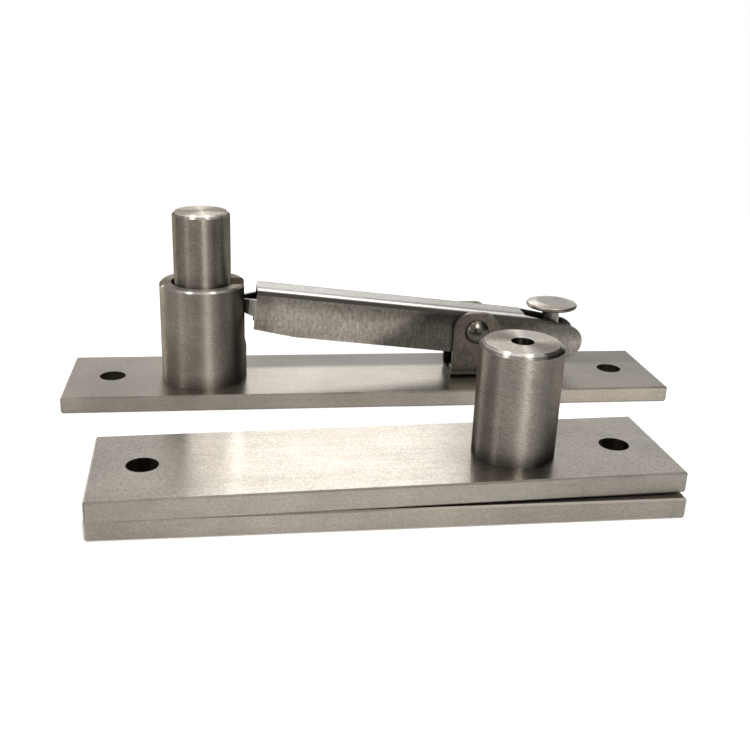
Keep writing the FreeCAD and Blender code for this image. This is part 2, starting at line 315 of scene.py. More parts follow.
def makeNicks():
    tree, takes, gives = startGroup("nicks", {"Vector": "Vector", "Size": "Float"}, ["Nick"])
    cells = tree.add("TexVoronoi", feature="F1")
    tree.feed(cells.inputs["Vector"], takes["Vector"])
    tree.feed(cells.inputs["Scale"], tree.math("DIVIDE", 1, takes["Size"]))
    gathered = tree.ramp(tree.noise(takes["Vector"], *dents["gather"]), *dents["gatherFrom"])
    tree.feed(gives["Nick"], tree.times(tree.ramp(cells.outputs["Distance"], *dents["dent"]), gathered))


makeBrushedGrain()
makeTurningMarks()
makeBrokenEdge()
makeRoundMark()
makeNicks()
print("shared shader groups built")


def newSurface(name):
    material = bpy.data.materials.new(name)
    tree = emptyTree(material)
    shader = tree.add("BsdfPrincipled")
    tree.feed(tree.add("OutputMaterial").inputs["Surface"], shader.outputs[0])
    place = tree.add("TexCoord").outputs
    return material, tree, shader, place["Object"], place["Normal"]


def finishSurface(tree, shader, colour, roughness, height, bumpDepth):
    bump = tree.add("Bump")
    bump.inputs["Strength"].default_value = 1.0
    bump.inputs["Distance"].default_value = bumpDepth * mm
    tree.feed(bump.inputs["Height"], height)
    tree.feed(shader.inputs["Normal"], bump.outputs[0])
    tree.feed(shader.inputs["Base Color"], colour)
    tree.feed(shader.inputs["Roughness"], roughness)
    shader.inputs["Metallic"].default_value = 1.0


def stretchShine(tree, shader, axis, amount, rotation):
    tangent = tree.add("Tangent", direction_type="RADIAL", axis=axis)
    tree.feed(shader.inputs["Tangent"], tangent.outputs[0])
    shader.inputs["Anisotropic"].default_value = amount
    shader.inputs["Anisotropic Rotation"].default_value = rotation


def dress(piece, material):
    piece.data.materials.clear()
    piece.data.materials.append(material)


# A grey whose red rises with its warmth, while its blue falls a little more
blueFall = 1.3


def grey(level, warmth):
    return (level * (1 + warmth), level, level * (1 - blueFall * warmth), 1)


# Flat bars: brushed along their length. Left and right paint shade and light onto the side faces along X,
# and the shade band's ramp paints a darker band of shade on a top face along Y: start and stop in
# millimetres, and the value at each. Edge is the tone of the broken edges against that of the side faces;
# on the floor plate it paints a highlight along them
barFinish = {
    "frame_plate": {
        "wide": 0.232, "side": 0.245, "edge": 0.6, "warmth": 0.12, "gloss": 0.34,
        "left": (0, 20, 0.85, 1.0), "right": (45, 72, 1.0, 1.35), "dusk": (3.0, 7.0, 0.0, 0.68),
        "holes": ((-25.5, 0), (120.5, 0)),
    },
    "door_plate": {
        "wide": 0.282, "side": 0.28, "edge": 0.6, "warmth": 0.105, "gloss": 0.29,
        "left": (-20, 12, 0.83, 1.0), "right": (60, 90, 1.0, 0.76),
        "holes": ((-11.78, -69.39), (96.15, -65.62)),
    },
    "floor_plate": {
        # An edge above one paints a highlight along the floor plate's broken edges
        "wide": 0.27, "side": 0.292, "edge": 1.7, "warmth": 0.11, "gloss": 0.32,
        "left": (-22, 5, 0.80, 1.0), "right": (45, 85, 1.0, 0.78),
        "holes": ((-11.8, -67.5), (96.2, -67.5)),
    },
}
bars = {
    "fineness": 1.0,
    "nickSize": 3.5,
    "flat": (0.5, 0.9),
    "duskLeft": (-5, 20),
    "duskRight": (125, 80, 0.4, 1.0),
    "streak": (0.97, 1.03),
    "patch": (0.88, 1.08),
    "speckleLow": (0.87, 0.76),       # on a side face and on a flat one
    "speckleHigh": (1.11, 1.20),
    "edge": 0.6,
    "wornFrom": (0.45, 0.6),
    "worn": (0.25, grey(0.4, 0.05)),
    "scratch": (0.03, grey(0.5, 0.04)),
    "nick": (0.3, grey(0.16, 0.1)),
    "hole": grey(0.035, 0.25),
    "holeRadius": 3.56,
    "glossSpread": 0.03,
    "edgeRough": 0.3,
    "sideRough": 0.12,
    "streakHeight": 0.6,
    "nickHeight": -0.8,
    "speckleHeight": 0.5,
    "bumpDepth": 0.012,
    "shine": ("X", 0.4, 0.0),
}


def barMaterial(name):
    look = barFinish[name]
    material, tree, shader, place, normal = newSurface(name + "Steel")
    grain = tree.group("brushedGrain", Vector=place, Fineness=bars["fineness"])
    edge = tree.group("brokenEdge", Normal=normal)["Bar"]
    nick = tree.group("nicks", Vector=place, Size=bars["nickSize"] * mm)["Nick"]
    up = tree.absolute(tree.split(normal)[2])
    flat = tree.ramp(up, *bars["flat"])
    x, y = tree.split(place, "XY")

    # Painted shade and light on the side faces along X
    ends = tree.times(tree.rampMm(x, *look["left"]), tree.rampMm(x, *look["right"]))
    tops = 1.0
    # Painted shade: a darker band across the frame plate's top, behind the lever
    if "dusk" in look:
        band = tree.times(tree.rampMm(x, *bars["duskLeft"]), tree.rampMm(x, *bars["duskRight"]))
        tops = tree.inverse(tree.times(tree.rampMm(y, *look["dusk"]), band))
    level = tree.mix(flat, grey(look["side"], look["warmth"]), grey(look["wide"], look["warmth"]))
    level = tree.vector("MULTIPLY", level, tree.mix(flat, tree.even(ends), tree.even(tops)))

    low = tree.ramp(up, *bars["flat"], *bars["speckleLow"])
    high = tree.ramp(up, *bars["flat"], *bars["speckleHigh"])
    streak = tree.spread(grain["Streak"], *bars["streak"])
    patch = tree.spread(grain["Patch"], *bars["patch"])
    colour = tree.tint(level, tree.times(streak, patch, tree.spread(grain["Speckle"], low, high)))
    # Lighter specks on the broken edges
    worn = tree.times(edge, tree.ramp(grain["Patch"], *bars["wornFrom"]))
    # Broken edges take their own tone; on the floor plate this is a painted highlight
    colour = tree.cover(colour, edge, bars["edge"], grey(look["side"] * look["edge"], look["warmth"]))
    colour = tree.cover(colour, worn, *bars["worn"])
    colour = tree.cover(colour, grain["Scratch"], *bars["scratch"])
    colour = tree.cover(colour, nick, *bars["nick"])
    # Painted shade inside the holes
    for holeX, holeY in look["holes"]:
        middle = (holeX * mm, holeY * mm, 0)
        hole = tree.group("roundMark", Vector=place, Axis=middle, Radius=bars["holeRadius"] * mm)
        colour = tree.mix(hole["Inside"], colour, bars["hole"])

    dull, bright = look["gloss"] + bars["glossSpread"], look["gloss"] - bars["glossSpread"]
    rough = tree.plus(
        tree.spread(grain["Streak"], dull, bright, allNoise),
        tree.times(edge, bars["edgeRough"]),
        tree.times(tree.inverse(flat), bars["sideRough"]),
    )
    height = tree.plus(
        tree.times(grain["Streak"], bars["streakHeight"]),
        tree.times(nick, bars["nickHeight"]),
        tree.times(grain["Speckle"], bars["speckleHeight"]),
    )
    finishSurface(tree, shader, colour, rough, height, bars["bumpDepth"])
    stretchShine(tree, shader, *bars["shine"])
    return material


for name in barFinish:
    dress(nodes[name], barMaterial(name))
print("plates dressed")


# Turned pieces: fine rings, a polished broken edge, painted light on the end faces, which are lighter than
# the sides, and painted shade in the bores, in the slot and towards the foot. Foot gives the painted
# shade's height and tone; two more tones paint shade and light on the left and right flanks; rimFrom is the
# radius where the rim's own tone starts; and the slot's pair gives its half width and lower end. Two pieces
# are ground
groundFinish = {
    "side": 0.45, "end": 0.45, "rim": 0.5, "gloss": 0.2, "fineness": 1.4, "axis": (71, -67.5),
    "foot": (0, 0.68), "tone": (1.0, 1.0), "rimFrom": 0,
}
turnedFinish = {
    "pin_barrel": {
        "side": 0.146, "end": 0.22, "rim": 0.19, "warmth": 0.13, "gloss": 0.42, "fineness": 1.0,
        "axis": (0, 0), "foot": (4.5, 0.68), "tone": (1.12, 1.0), "rimFrom": 0,
        "bore": 8.6, "slot": (3.33, 12.9),
    },
    "pivot_pin": {
        "side": 0.134, "end": 0.40, "rim": 0.16, "warmth": 0.13, "gloss": 0.40, "fineness": 1.1,
        "axis": (0, 0), "foot": (28.0, 0.68), "tone": (0.80, 1.25), "rimFrom": 7.25,
    },
    "socket_cup": {
        "side": 0.172, "end": 0.335, "rim": 0.13, "warmth": 0.11, "gloss": 0.40, "fineness": 0.9,
        "axis": (71, -67.5), "foot": (10.3, 0.38), "tone": (0.78, 1.4), "rimFrom": 8.95,
        "bore": 2.6,
    },
    "spindle": {**groundFinish, "warmth": 0.03},
    "thrust_pad": {**groundFinish, "warmth": 0.02},
}
turned = {
    "nickSize": 3.0,
    "rimSoft": 0.08,
    "rimWarmth": 0.09,
    "end": (0.8, 0.97),
    "endWarmth": 0.7,
    "ring": (0.92, 1.07),
    "patch": (0.84, 1.12),
    "speckle": (0.75, 1.22),
    "flank": (0.4, 0.85),
    "footHeight": 4.5,
    "nick": (0.25, grey(0.08, 0.1)),
    "bore": grey(0.02, 0.2),
    "slot": (0.9, grey(0.03, 0.2)),
    "slotFrom": 5.0,
    "dull": 0.06,
    "bright": 0.04,
    "edgeShine": 0.22,
    "nickHeight": -0.6,
    "speckleHeight": 0.4,
    "bumpDepth": 0.012,
    "shine": ("Z", 0.85, 0.25),
    "glance": (0.45, 0.43, 0.4, 1),
}


def turnedMaterial(name):
    look = turnedFinish[name]
    material, tree, shader, place, normal = newSurface(name + "Steel")
    axis = (look["axis"][0] * mm, look["axis"][1] * mm, 0)
    marks = tree.group("turningMarks", Vector=place, Axis=axis, Fineness=look["fineness"])
    edge = tree.group("brokenEdge", Normal=normal)["Turned"]
    nick = tree.group("nicks", Vector=place, Size=turned["nickSize"] * mm)["Nick"]
    across, up = tree.split(normal, "XZ")

    rimFrom, soft = look["rimFrom"], turned["rimSoft"]
    rim = tree.times(edge, tree.rampMm(marks["Radius"], rimFrom - soft, rimFrom + soft))
    end = tree.ramp(tree.absolute(up), *turned["end"])
    end = tree.math("MAXIMUM", end, tree.math("SUBTRACT", edge, rim))
    # Painted light: the end faces get a lighter grey than the sides
    endGrey = grey(look["end"], look["warmth"] * turned["endWarmth"])
    level = tree.mix(end, grey(look["side"], look["warmth"]), endGrey)

    # Painted shade and light on the left and right flanks
    start, stop = turned["flank"]
    left, right = look["tone"]
    # Painted shade towards the foot
    footTop, footTone = look["foot"]
    foot = tree.rampMm(marks["Height"], footTop, footTop + turned["footHeight"], footTone, 1.0)
    shade = tree.times(
        tree.spread(marks["Ring"], *turned["ring"]),
        tree.spread(marks["Patch"], *turned["patch"]),
        tree.spread(marks["Speckle"], *turned["speckle"]),
        tree.ramp(across, -start, -stop, 1.0, left),
        tree.ramp(across, start, stop, 1.0, right),
        tree.math("MAXIMUM", foot, end),
    )
    colour = tree.tint(level, shade)
    colour = tree.mix(rim, colour, grey(look["rim"], turned["rimWarmth"]))
    colour = tree.cover(colour, nick, *turned["nick"])
    # Painted shade in the bores and in the barrel's slot
    if "bore" in look:
        inside = tree.math("LESS_THAN", marks["Radius"], look["bore"] * mm)
        colour = tree.mix(inside, colour, turned["bore"])
    if "slot" in look:
        x, y, z = tree.split(place)
        halfWidth, lowEnd = look["slot"]
        inside = tree.times(
            tree.math("LESS_THAN", tree.absolute(y), halfWidth * mm),
            tree.math("GREATER_THAN", z, lowEnd * mm),
            tree.math("GREATER_THAN", x, turned["slotFrom"] * mm),
        )
        colour = tree.cover(colour, inside, *turned["slot"])

    dull, bright = look["gloss"] + turned["dull"], look["gloss"] - turned["bright"]
    rough = tree.spread(marks["Ring"], dull, bright, allNoise)
    rough = tree.math("SUBTRACT", rough, tree.times(edge, turned["edgeShine"]))
    height = tree.plus(
        marks["Ring"],
        tree.times(nick, turned["nickHeight"]),
        tree.times(marks["Speckle"], turned["speckleHeight"]),
    )
    finishSurface(tree, shader, colour, rough, height, turned["bumpDepth"])
    stretchShine(tree, shader, *turned["shine"])
    shader.inputs["Specular Tint"].default_value = turned["glance"]
    return material


for name in turnedFinish:
    dress(nodes[name], turnedMaterial(name))
print("turned pieces dressed")


# Pressed sheet: satin and mottled, with a painted highlight along its bends and painted shade inside and
# low on the flanks. Lift is the height over the cross rivet, square to a lever tilted by its angle. The
# lever has
# painted zones of its own: painted shade and light on the flanks, a line of painted shade beside each bend,
# a rougher band of painted shade under it, and painted shade on its top
sheetFinish = {
    "rocker_lever": {
        "level": 0.37, "warmth": 0.1, "gloss": 0.27, "tilt": 6.15, "inside": 3.6,
        "bend": (0.75, grey(0.5, 0.03)), "zones": True,
    },
    "lever_bracket": {
        "level": 0.115, "warmth": 0.15, "gloss": 0.36, "tilt": 0, "inside": 5.0,
        "bend": (0.3, grey(0.3, 0.03)), "zones": False,
    },
}
sheets = {
    "fineness": 0.8,
    "nickSize": 2.8,
    "mottleStretch": (1150, 600, 520),
    "mottleNoise": (1.0, 4, 0.62),
    "mottle": (0.76, 1.24),
    "streak": (0.95, 1.05),
    "patch": (0.84, 1.12),
    "speckle": (0.86, 1.14),
    "side": (0.8, 0.95),
    "lowShade": (-2.5, -6.0, 0.0, 0.26),
    "nick": (0.35, grey(0.1, 0.1)),
    "insideBelow": 4.5,
    "inside": (0.85, grey(0.03, 0.1)),
    "dull": 0.08,
    "bright": 0.03,
    "nickHeight": -1.0,
    "bumpDepth": 0.015,
}
lever = {
    "highShade": (-1.0, 3.4, 0.0, 0.5),
    "slant": 1.3,
    "slantFrom": 1.5,
    "dark": (49.5, 59, 1.0, 0.25),
    "tongue": (17, 21, 0.6, 1.0),
    "lobe": (92, 99, 1.0, 1.4),
    "sideGain": 0.5,
    "bendLine": 2.95,
    "lineWidth": (0.8, 0.35),
    "lineFrom": 5.4,
    "line": (0.75, grey(0.1, 0.1)),
    "underFrom": (3.6, 4.2),
    "underTo": (5.3, 4.95),
    "underLevel": 0.2,
    "underWarmth": 0.12,
    "underRough": 0.38,
    "topFrom": 5.8,
    "topShare": 0.4,
    "topLevel": 0.6,
    "topWarmth": -0.02,
}


# Painted shade and light on the lever's flanks: darker towards the bracket and on the tongues, paler on the
# lobes, and the flanks lighter as a whole by the side gain
def leverZones(tree, x, lift, onSide):
    slanted = tree.math("SUBTRACT", x, tree.times(tree.plus(lift, lever["slantFrom"] * mm), lever["slant"]))
    tone = tree.times(
        tree.rampMm(slanted, *lever["dark"]),
        tree.rampMm(x, *lever["tongue"]),
        tree.rampMm(x, *lever["lobe"]),
    )
    tone = tree.math("MAXIMUM", tone, tree.inverse(onSide))
    return tree.times(tone, tree.plus(tree.times(onSide, lever["sideGain"]), 1))


def sheetMaterial(name):
    look = sheetFinish[name]
    material, tree, shader, place, normal = newSurface(name + "Steel")
    grain = tree.group("brushedGrain", Vector=place, Fineness=sheets["fineness"])
    nick = tree.group("nicks", Vector=place, Size=sheets["nickSize"] * mm)["Nick"]
    edge = tree.group("brokenEdge", Normal=normal)["Bar"]
    x, y = tree.split(place, "XY")
    offMiddle = tree.absolute(y)
    onSide = tree.ramp(tree.absolute(tree.split(normal)[1]), *sheets["side"])
    tilt = math.radians(look["tilt"])
    pivot = [part * mm for part in rivetPlace]
    square = (math.sin(tilt), 0, math.cos(tilt))
    lift = tree.vector("DOT_PRODUCT", tree.vector("SUBTRACT", place, pivot), square)

    mottlePlace = tree.vector("MULTIPLY", place, sheets["mottleStretch"])
    mottle = tree.noise(mottlePlace, *sheets["mottleNoise"])
    shadow = tree.times(onSide, tree.rampMm(lift, *sheets["lowShade"]))
    if look["zones"]:
        shadow = tree.math("MAXIMUM", tree.times(onSide, tree.rampMm(lift, *lever["highShade"])), shadow)
    shade = tree.times(
        tree.spread(grain["Streak"], *sheets["streak"]),
        tree.spread(grain["Patch"], *sheets["patch"]),
        tree.spread(mottle, *sheets["mottle"]),
        tree.spread(grain["Speckle"], *sheets["speckle"]),
        tree.inverse(shadow),
    )
    if look["zones"]:
        shade = tree.times(shade, leverZones(tree, x, lift, onSide))

    colour = tree.tint(grey(look["level"], look["warmth"]), shade)
    # Painted highlight along the bends and rounded edges
    colour = tree.cover(colour, edge, *look["bend"])
    colour = tree.cover(colour, nick, *sheets["nick"])
    dull, bright = look["gloss"] + sheets["dull"], look["gloss"] - sheets["bright"]
    rough = tree.spread(grain["Streak"], dull, bright, allNoise)
    # The lever's line, band and top of painted shade
    if look["zones"]:
        offLine = tree.absolute(tree.math("SUBTRACT", offMiddle, lever["bendLine"] * mm))
        above = tree.math("GREATER_THAN", lift, lever["lineFrom"] * mm)
        line = tree.times(tree.rampMm(offLine, *lever["lineWidth"]), above)
        colour = tree.cover(colour, line, *lever["line"])
        under = tree.times(tree.rampMm(lift, *lever["underFrom"]), tree.rampMm(lift, *lever["underTo"]))
        colour = tree.mix(under, colour, grey(look["level"] * lever["underLevel"], lever["underWarmth"]))
        rough = tree.plus(rough, tree.times(under, lever["underRough"]))
        top = tree.math("GREATER_THAN", lift, lever["topFrom"] * mm)
        topGrey = grey(look["level"] * lever["topLevel"], lever["topWarmth"])
        colour = tree.cover(colour, top, lever["topShare"], topGrey)
    # Painted shade inside the lever's channel and between the bracket's ears
    inside = tree.times(
        tree.math("LESS_THAN", offMiddle, look["inside"] * mm),
        tree.math("LESS_THAN", lift, sheets["insideBelow"] * mm),
    )
    colour = tree.cover(colour, inside, *sheets["inside"])

    height = tree.plus(mottle, tree.times(nick, sheets["nickHeight"]))
    finishSurface(tree, shader, colour, rough, height, sheets["bumpDepth"])
    return material


for name in sheetFinish:
    dress(nodes[name], sheetMaterial(name))
print("lever and bracket dressed")


# Shaping helpers: a turned piece is a stack of rings, drawn up from its lowest one
def clearSelection():
    if bpy.context.object and bpy.context.object.mode != "OBJECT":
        bpy.ops.object.mode_set(mode="OBJECT")
    bpy.ops.object.select_all(action="DESELECT")


def startEditing():
    bpy.ops.object.mode_set(mode="EDIT")
    bpy.ops.mesh.select_all(action="SELECT")


def endEditing():
    bpy.ops.mesh.select_all(action="SELECT")
    bpy.ops.mesh.normals_make_consistent(inside=False)
    bpy.ops.object.mode_set(mode="OBJECT")


def drawRings(rings, segments):
    clearSelection()
    radius, height = rings[0]
    bpy.ops.mesh.primitive_circle_add(
        vertices=segments, radius=radius * mm, fill_type="NGON", location=(0, 0, height * mm)
    )
    bpy.ops.object.transform_apply(location=True, rotation=False, scale=False)
    startEditing()
    for (before, low), (after, high) in zip(rings, rings[1:]):
        bpy.ops.mesh.extrude_region_move(TRANSFORM_OT_translate={"value": (0, 0, (high - low) * mm)})
        grow = after / before
        bpy.ops.transform.resize(value=(grow, grow, 1), center_override=(0, 0, high * mm))
    endEditing()
    return bpy.context.object


def roundOver(centre, height, radius, start, stop, steps):
    turns = [math.radians(start + (stop - start) * step / steps) for step in range(steps + 1)]
    return [(centre + radius * math.cos(turn), height + radius * math.sin(turn)) for turn in turns]


def settle(piece, name, place, body, node, smooth):
    clearSelection()
    piece.select_set(True)
    bpy.context.view_layer.objects.active = piece
    piece.name = name
    piece.data.name = name
    piece.location = Vector(place) * mm
    bpy.ops.object.transform_apply(location=True, rotation=True, scale=True)
    bpy.ops.object.shade_smooth_by_angle(angle=math.radians(smooth))
    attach(piece, body)
    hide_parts(node)
    return piece


# Disc on the screw: a flat middle, a soft shoulder and a rounded rim. RimArc is the rim's round, from
# and to in degrees, and its steps. Crown is how far the middle stands over the rim. Shoulder, middle
# and rings are shares of the radius
disc = {
    "radius": 7.4,
    "rim": 0.62,
    "rimHeight": 24.86,
    "rimArc": (-80, 72, 10),
    "crown": 0.54,
    "shoulder": 0.93,
    "middle": 0.5,
    "rings": (0.86, 0.79, 0.72, 0.65, 0.58, 0.52, 0.46, 0.3, 0.12),
    "under": 23.97,
    "underRings": (2.9, 5.0),
    "segments": 96,
    "smooth": 50,
}


def makeDisc():
    rings = [(radius, disc["under"]) for radius in disc["underRings"]]
    rings += roundOver(disc["radius"] - disc["rim"], disc["rimHeight"], disc["rim"], *disc["rimArc"])
    rimTop = rings[-1][1]
    for share in disc["rings"]:
        inward = (disc["shoulder"] - share) / (disc["shoulder"] - disc["middle"])
        turn = min(1.0, max(0.0, inward)) * math.pi / 2
        rings.append((disc["radius"] * share, rimTop + disc["crown"] * math.sin(turn)))
    piece = drawRings(rings, disc["segments"])
    return settle(piece, "screwDisc", screwPlace, "disc", "pressure_disc", disc["smooth"])


# Cross rivet: domed head in front, plain shank, flat tail behind. Each step of tailEdge is how far it
# lies inside the tail's radius and above its end
rivet = {
    "face": 6.4,
    "shank": 2.0,
    "head": 3.5,
    "headEdge": (0.12, 0.14),
    "dome": 2.1,
    "domeTurns": range(12, 90, 6),
    "tail": 2.9,
    "tailHeight": 1.15,
    "tailEdge": ((0.5, 0), (0.15, 0.12), (0, 0.4)),
    "segments": 64,
    "smooth": 40,
}


def makeRivet():
    face = rivet["face"]
    inset, rise = rivet["headEdge"]
    tailEnd = -face - rivet["tailHeight"]
    rings = [(rivet["tail"] - inward, tailEnd + above) for inward, above in rivet["tailEdge"]]
    rings += [(rivet["tail"], -face), (rivet["shank"], -face), (rivet["shank"], face)]
    rings += [(rivet["head"] - inset, face), (rivet["head"], face + rise)]
    for degrees in rivet["domeTurns"]:
        turn = math.radians(degrees)
        domeHeight = face + rise + (rivet["dome"] - rise) * math.sin(turn)
        rings.append((rivet["head"] * math.cos(turn), domeHeight))
    piece = drawRings(rings, rivet["segments"])
    piece.rotation_euler = (math.radians(90), 0, 0)
    return settle(piece, "crossRivet", rivetPlace, "frame", "lever_rivet", rivet["smooth"])


# Adjusting screw: M5 thread below, plain shank above, peened end, screwdriver slot in its foot. Each
# ring of the peened end gives its radius and its height over the shank's end
screw = {
    "radius": 2.5,
    "core": 2.08,
    "foot": 2.2,
    "footEdge": 0.1,
    "slotDepth": 1.0,
    "slotHalf": 0.45,
    "pitch": 0.8,
    "threadEnd": 17.0,
    "threadRunOut": 0.45,
    "threadLead": 0.6,
    "toothSides": 3,
    "toothShare": 0.9,
    "toothOut": 0.25,
    "shankPlay": 0.02,
    "shankEnd": 23.93,
    "shankStop": 0.3,
    "peened": ((1.7, -0.1), (1.7, 1.5), (1.2, 1.6)),
    "nearFoot": 0.01,
    "facingDown": -0.9,
    "weld": 0.001,
    "segments": 48,
    "turnSteps": 32,
    "smooth": 40,
}


def makeScrewCore():
    floor = screw["foot"] + screw["slotDepth"]
    shank = screw["radius"] - screw["shankPlay"]
    edge = screw["footEdge"]
    end = screw["shankEnd"]
    rings = [
        (screw["core"] - edge, floor),
        (screw["core"], floor + edge),
        (screw["core"], screw["threadEnd"]),
        (shank, screw["threadEnd"] + screw["threadRunOut"]),
        (shank, end - screw["shankStop"]),
    ]
    rings += [(radius, end + above) for radius, above in screw["peened"]]
    core = drawRings(rings, screw["segments"])
    bpy.ops.object.mode_set(mode="EDIT")
    for side in (-1, 1):
        bpy.ops.mesh.select_all(action="SELECT")
        bpy.ops.mesh.bisect(plane_co=(0, side * screw["slotHalf"] * mm, 0), plane_no=(0, 1, 0))
    bpy.ops.mesh.select_all(action="DESELECT")
    bpy.ops.object.mode_set(mode="OBJECT")
    for face in core.data.polygons:
        low = face.center.z < (floor + screw["nearFoot"]) * mm
        onFoot = low and face.normal.z < screw["facingDown"]
        face.select = onFoot and abs(face.center.y) > screw["slotHalf"] * mm
    bpy.ops.object.mode_set(mode="EDIT")
    bpy.ops.mesh.select_mode(type="FACE")
    bpy.ops.mesh.extrude_region_move(TRANSFORM_OT_translate={"value": (0, 0, -screw["slotDepth"] * mm)})
    endEditing()
    return core


def makeThread():
    clearSelection()
    tooth = (screw["radius"] - screw["core"]) * screw["toothShare"]
    start = screw["foot"] + screw["threadLead"]
    outward = screw["core"] + tooth * screw["toothOut"]
    bpy.ops.mesh.primitive_circle_add(
        vertices=screw["toothSides"], radius=tooth * mm, fill_type="NGON", location=(0, 0, 0)
    )
    coil = bpy.context.object
    coil.rotation_euler = (math.radians(90), 0, 0)
    bpy.ops.object.transform_apply(location=True, rotation=True, scale=True)
    startEditing()
    bpy.ops.transform.rotate(value=math.radians(90), orient_axis="Y", center_override=(0, 0, 0))
    bpy.ops.transform.translate(value=(outward * mm, 0, start * mm))
    bpy.ops.object.mode_set(mode="OBJECT")
    wind = coil.modifiers.new("wind", "SCREW")
    wind.axis = "Z"
    wind.angle = math.radians(360)
    wind.screw_offset = screw["pitch"] * mm
    wind.iterations = int((screw["threadEnd"] - start) / screw["pitch"])
    wind.steps = wind.render_steps = screw["turnSteps"]
    wind.use_merge_vertices = True
    wind.merge_threshold = screw["weld"] * mm
    bpy.ops.object.modifier_apply(modifier=wind.name)
    startEditing()
    bpy.ops.mesh.fill_holes(sides=screw["toothSides"] + 1)
    bpy.ops.mesh.normals_make_consistent(inside=False)
    bpy.ops.object.mode_set(mode="OBJECT")


def makeScrew():
    piece = makeScrewCore()
    makeThread()
    piece.select_set(True)
    bpy.context.view_layer.objects.active = piece
    bpy.ops.object.join()
    return settle(
        piece, "adjustingScrew", screwPlace, "screw", "adjusting_screw", screw["smooth"]
    )


newPieces = {
    "pressure_disc": makeDisc(),
    "lever_rivet": makeRivet(),
    "adjusting_screw": makeScrew(),
}
print("disc, rivet and screw modelled")


# Small turned and polished pieces; the disc has a painted dark rim, and painted shade and light make its
# flat middle darker than its shoulder. RimFrom and middle go by how far the surface faces up
smallFinish = {
    "lever_rivet": {"level": 0.072, "warmth": 0.12, "gloss": 0.22},
    "bracket_rivets": {"level": 0.25, "warmth": 0.08, "gloss": 0.3},
    "lift_nut": {"level": 0.2, "warmth": 0.08, "gloss": 0.3},
    "adjusting_screw": {"level": 0.17, "warmth": 0.1, "gloss": 0.28},
    "pressure_disc": {
        "level": 0.24, "warmth": 0.1, "gloss": 0.29,
        "rimFrom": (0.86, 0.5), "rim": (0.85, grey(0.085, 0.15)), "middle": (0.992, 0.9995, 1.15, 0.86),
    },
    "cup_bush": {"level": 0.45, "warmth": 0.3, "gloss": 0.35},
}
smalls = {
    "nickSize": 1.8,
    "patchNoise": (260, 4, 0.6),
    "patch": (0.88, 1.1),
    "fineNoise": (2400, 3, 0.6),
    "fine": (0.95, 1.04),
    "nickShare": 0.2,
    "nickLevel": 0.6,
    "nickWarmth": 0.1,
    "dull": 0.06,
    "bright": 0.04,
    "nickHeight": -0.3,
    "bumpDepth": 0.0012,
}


def smallMaterial(name):
    look = smallFinish[name]
    material, tree, shader, place, normal = newSurface(name + "Steel")
    nick = tree.group("nicks", Vector=place, Size=smalls["nickSize"] * mm)["Nick"]
    patch = tree.noise(place, *smalls["patchNoise"])
    fine = tree.noise(place, *smalls["fineNoise"])
    shade = tree.times(tree.spread(patch, *smalls["patch"]), tree.spread(fine, *smalls["fine"]))
    colour = tree.tint(grey(look["level"], look["warmth"]), shade)
    nickGrey = grey(look["level"] * smalls["nickLevel"], smalls["nickWarmth"])
    colour = tree.cover(colour, nick, smalls["nickShare"], nickGrey)
    # The disc's painted dark rim, and painted shade and light by how far it faces up
    if "rim" in look:
        up = tree.split(normal)[2]
        colour = tree.cover(colour, tree.ramp(up, *look["rimFrom"]), *look["rim"])
        colour = tree.tint(colour, tree.ramp(up, *look["middle"]))
    rough = tree.spread(patch, look["gloss"] + smalls["dull"], look["gloss"] - smalls["bright"])
    height = tree.plus(fine, tree.times(nick, smalls["nickHeight"]))
    finishSurface(tree, shader, colour, rough, height, smalls["bumpDepth"])
    return material


for name in smallFinish:
    dress(newPieces.get(name, nodes[name]), smallMaterial(name))
print("small pieces dressed")


# Floor and world, in metres: lit like a pale studio, and plain white to the camera and in the metal.
# Near the object the floor keeps some of its own shading, for the shadow: whiteShare gives two
# distances from the centre, and the share of white at each
studio = {
    "floorSize": 6.0,
    "floorDrop": 0.0001,
    "floorColour": (0.82, 0.82, 0.81, 1),
    "worldColour": (0.80, 0.80, 0.80, 1),
    "worldStrength": 0.95,
    "centre": (0.045, -0.035, 0),
    "whiteShare": (0.12, 0.45, 0.35, 1.0),
}


def seenStraight(tree):
    ray = tree.add("LightPath").outputs
    seen = tree.math("MAXIMUM", ray["Is Camera Ray"], ray["Is Glossy Ray"])
    return tree.math("MAXIMUM", seen, ray["Is Transmission Ray"])


def blendShaders(tree, share, first, second, output):
    blend = tree.add("MixShader")
    tree.feed(blend.inputs[0], share)
    tree.feed(blend.inputs[1], first.outputs[0])
    tree.feed(blend.inputs[2], second.outputs[0])
    tree.feed(tree.add(output).inputs["Surface"], blend.outputs[0])


def addFloor():
    clearSelection()
    bpy.ops.mesh.primitive_plane_add(size=studio["floorSize"], location=(0, 0, -studio["floorDrop"]))
    bpy.ops.object.transform_apply(location=True)
    floor = bpy.context.object
    floor.name = "floor"
    material = bpy.data.materials.new("paleFloor")
    tree = emptyTree(material)
    paint = tree.add("BsdfDiffuse")
    paint.inputs["Color"].default_value = studio["floorColour"]
    place = tree.add("TexCoord").outputs["Object"]
    away = tree.vector("LENGTH", tree.vector("SUBTRACT", place, studio["centre"]))
    share = tree.times(seenStraight(tree), tree.ramp(away, *studio["whiteShare"]))
    blendShaders(tree, share, paint, tree.add("Emission"), "OutputMaterial")
    floor.data.materials.append(material)


def addWorld():
    world = bpy.data.worlds.new("studio")
    bpy.context.scene.world = world
    tree = emptyTree(world)
    light = tree.add("Background")
    light.inputs["Color"].default_value = studio["worldColour"]
    light.inputs["Strength"].default_value = studio["worldStrength"]
    white = tree.add("Background")
    white.inputs["Color"].default_value = (1, 1, 1, 1)
    blendShaders(tree, seenStraight(tree), light, white, "OutputWorld")


